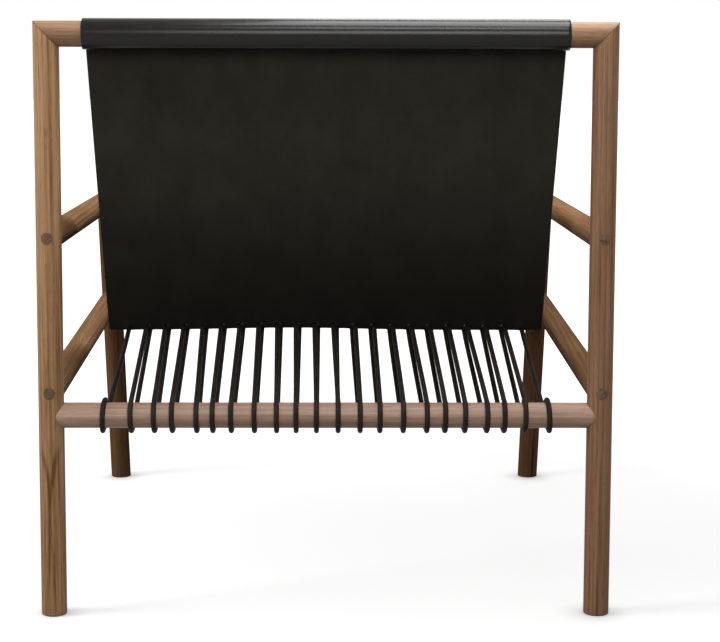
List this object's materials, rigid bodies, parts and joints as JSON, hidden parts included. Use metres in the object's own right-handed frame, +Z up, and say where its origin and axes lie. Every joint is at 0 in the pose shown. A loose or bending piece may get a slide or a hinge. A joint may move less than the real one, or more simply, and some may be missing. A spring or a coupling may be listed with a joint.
{
  "type": "lounge chair",
  "caption": "Low lounge chair with a round walnut dowel frame and one black leather sling, drawn tight at the crease by a cord laced round the rear rail.",
  "frame": {"origin": "on the floor, under the middle of the chair's bounding box", "axes": "+Z up, +Y the way the sitter faces, +X at the sitter's right hand"},
  "size_m": [0.72, 0.78, 0.7493],
  "materials": {
    "walnut": "oiled walnut, satin",
    "pin_wood": "walnut end grain, oiled",
    "sling_leather": "black leather, smooth grain side to the sitter, matte flesh side to the rear",
    "lacing": "tight black braid"
  },
  "bodies": {
    "root": {"rear_post_left": "walnut", "rear_post_right": "walnut", "front_leg_left": "walnut", "front_leg_right": "walnut", "arm_left": "walnut", "arm_right": "walnut", "seat_rail_left": "walnut", "seat_rail_right": "walnut", "top_rail": "walnut", "rear_rail": "walnut", "front_rail": "walnut", "arm_rear_pin_left": "pin_wood", "arm_rear_pin_right": "pin_wood", "seat_rail_rear_pin_left": "pin_wood", "seat_rail_rear_pin_right": "pin_wood", "seat_rail_front_pin_left": "pin_wood", "seat_rail_front_pin_right": "pin_wood", "arm_corner_pin_left": "pin_wood", "arm_corner_pin_right": "pin_wood", "top_corner_pin_left": "pin_wood", "top_corner_pin_right": "pin_wood", "rear_rail_pin_left": "pin_wood", "rear_rail_pin_right": "pin_wood", "front_rail_pin_left": "pin_wood", "front_rail_pin_right": "pin_wood", "leather_sling": "sling_leather", "top_spline": "pin_wood", "front_spline": "pin_wood", "lacing_cord": "lacing"}
  },
  "joints": []
}
